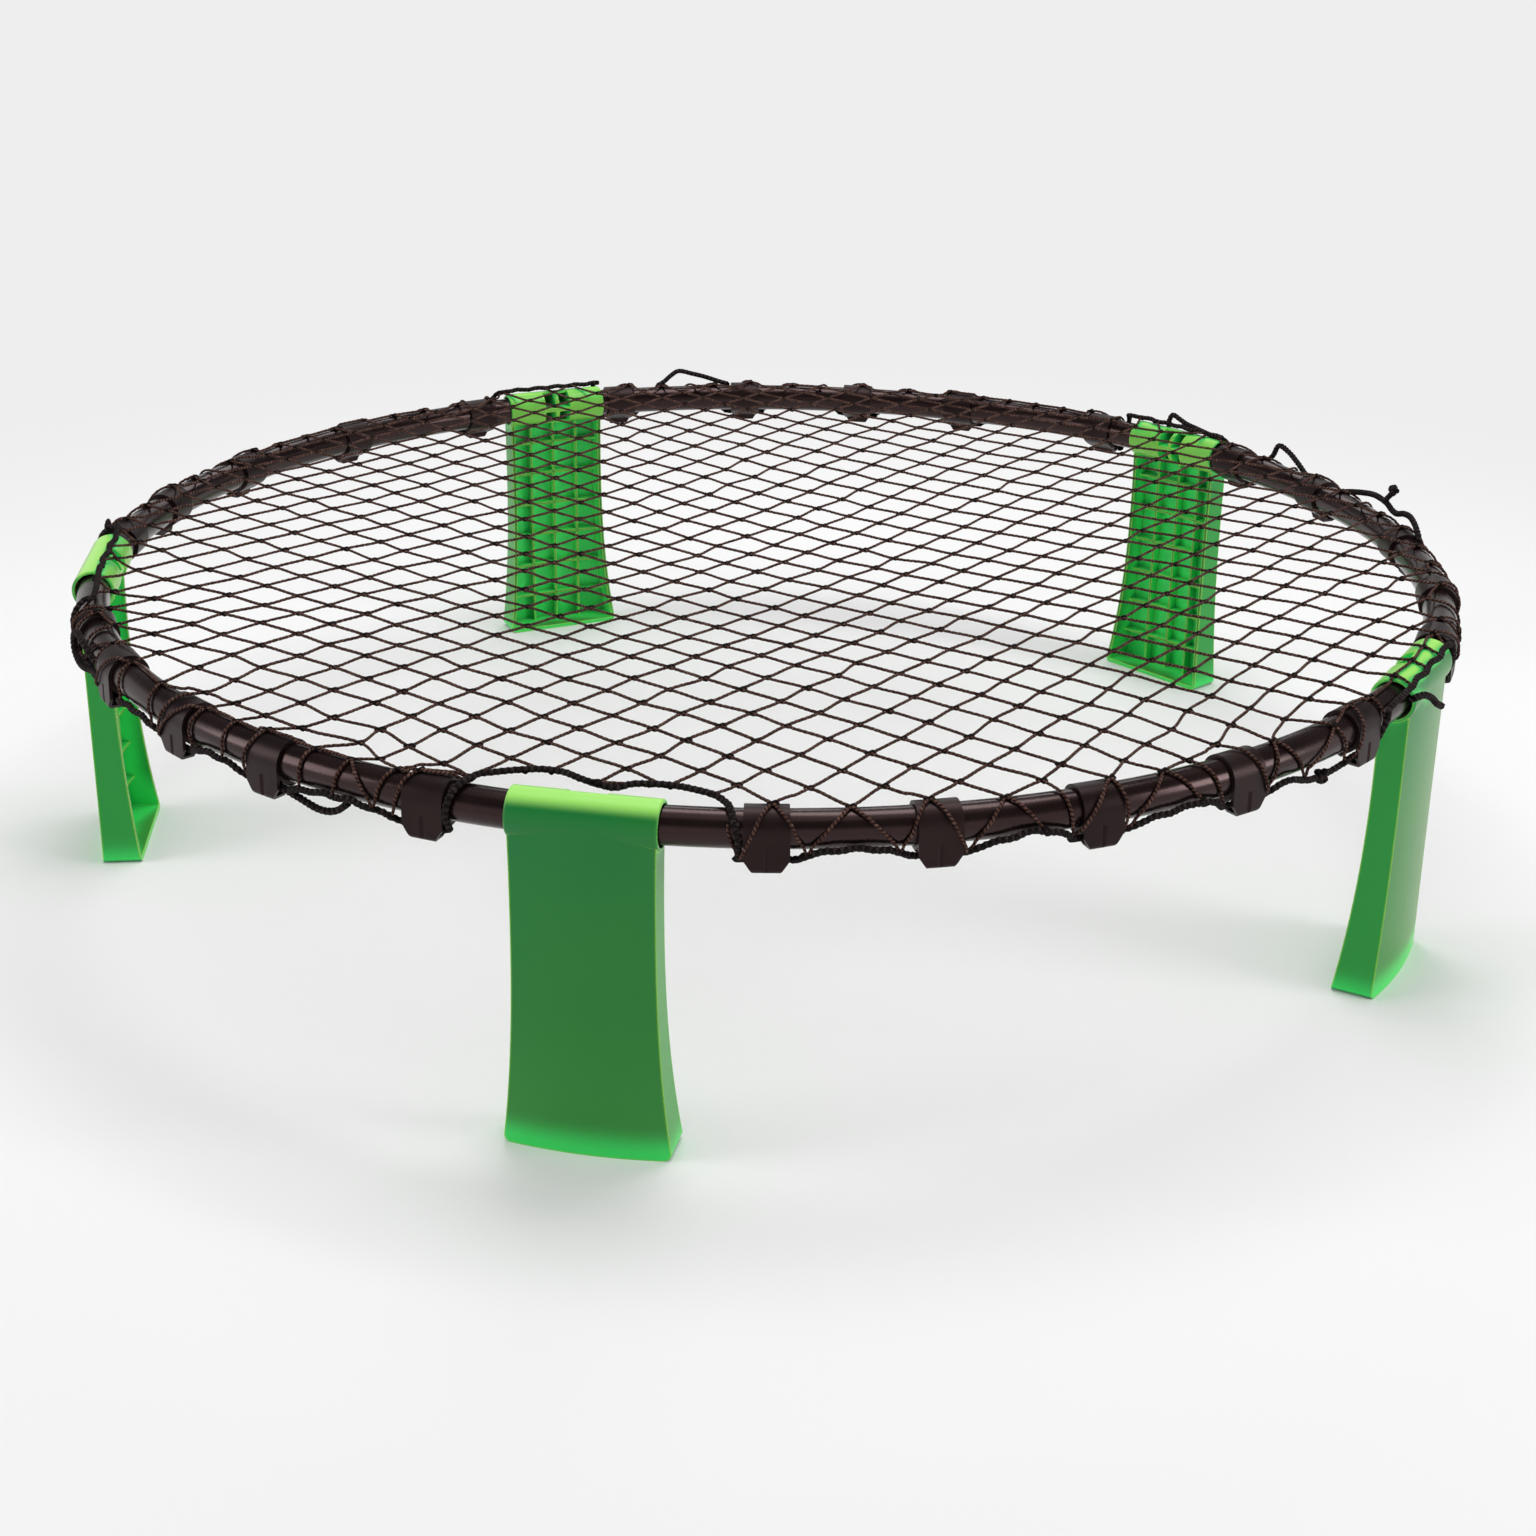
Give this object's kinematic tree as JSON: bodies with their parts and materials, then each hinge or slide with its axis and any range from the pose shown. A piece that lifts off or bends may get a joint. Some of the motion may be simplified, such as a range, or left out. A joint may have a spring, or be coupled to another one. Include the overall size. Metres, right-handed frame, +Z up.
{
  "type": "roundnet set",
  "caption": "Round tubular rim on five folding moulded legs, with a knotted net stretched over it by clips and an edge rope.",
  "frame": {"origin": "on the ground, below the centre of the rim", "axes": "+Z up; leg_1 stands at -Y and the legs are numbered counter-clockwise seen from above"},
  "size_m": [0.9193, 0.9195, 0.2097],
  "materials": {
    "rim_tube": "semi-gloss dark brown-black tube",
    "leg_plastic": "semi-gloss, slightly translucent green moulded plastic",
    "clip_plastic": "satin dark brown-black moulded plastic",
    "net_cord": "twisted dark brown cord, knotted",
    "rope": "braided dark rope"
  },
  "bodies": {
    "rim": {"rim_tube_1": "rim_tube", "rim_tube_2": "rim_tube", "rim_tube_3": "rim_tube", "rim_tube_4": "rim_tube", "rim_tube_5": "rim_tube", "net_clip_1": "clip_plastic", "net_clip_2": "clip_plastic", "net_clip_3": "clip_plastic", "net_clip_4": "clip_plastic", "net_clip_5": "clip_plastic", "net_clip_6": "clip_plastic", "net_clip_7": "clip_plastic", "net_clip_8": "clip_plastic", "net_clip_9": "clip_plastic", "net_clip_10": "clip_plastic", "net_clip_11": "clip_plastic", "net_clip_12": "clip_plastic", "net_clip_13": "clip_plastic", "net_clip_14": "clip_plastic", "net_clip_15": "clip_plastic", "net_clip_16": "clip_plastic", "net_clip_17": "clip_plastic", "net_clip_18": "clip_plastic", "net_clip_19": "clip_plastic", "net_clip_20": "clip_plastic", "net_clip_21": "clip_plastic", "net_clip_22": "clip_plastic", "net_clip_23": "clip_plastic", "net_clip_24": "clip_plastic", "net_clip_25": "clip_plastic", "net": "net_cord", "net_edge_1": "net_cord", "net_edge_2": "net_cord", "net_edge_3": "net_cord", "net_edge_4": "net_cord", "net_edge_5": "net_cord", "edge_rope": "rope", "rope_knot": "rope"},
    "leg_1": {"leg_1": "leg_plastic"},
    "leg_2": {"leg_2": "leg_plastic"},
    "leg_3": {"leg_3": "leg_plastic"},
    "leg_4": {"leg_4": "leg_plastic"},
    "leg_5": {"leg_5": "leg_plastic"}
  },
  "joints": [
    {"name": "leg_1_fold", "type": "hinge", "parent": "rim", "child": "leg_1", "pos_m": [0, -0.44607, 0.192], "axis": [1, 0, 0], "range_deg": [-15, 85]},
    {"name": "leg_2_fold", "type": "hinge", "parent": "rim", "child": "leg_2", "pos_m": [0.42424, -0.13784, 0.192], "axis": [0.309, 0.9511, 0], "range_deg": [-15, 85]},
    {"name": "leg_3_fold", "type": "hinge", "parent": "rim", "child": "leg_3", "pos_m": [0.26219, 0.36088, 0.192], "axis": [-0.809, 0.5878, 0], "range_deg": [-15, 85]},
    {"name": "leg_4_fold", "type": "hinge", "parent": "rim", "child": "leg_4", "pos_m": [-0.26219, 0.36088, 0.192], "axis": [-0.809, -0.5878, 0], "range_deg": [-15, 85]},
    {"name": "leg_5_fold", "type": "hinge", "parent": "rim", "child": "leg_5", "pos_m": [-0.42424, -0.13784, 0.192], "axis": [0.309, -0.9511, 0], "range_deg": [-15, 85]}
  ]
}
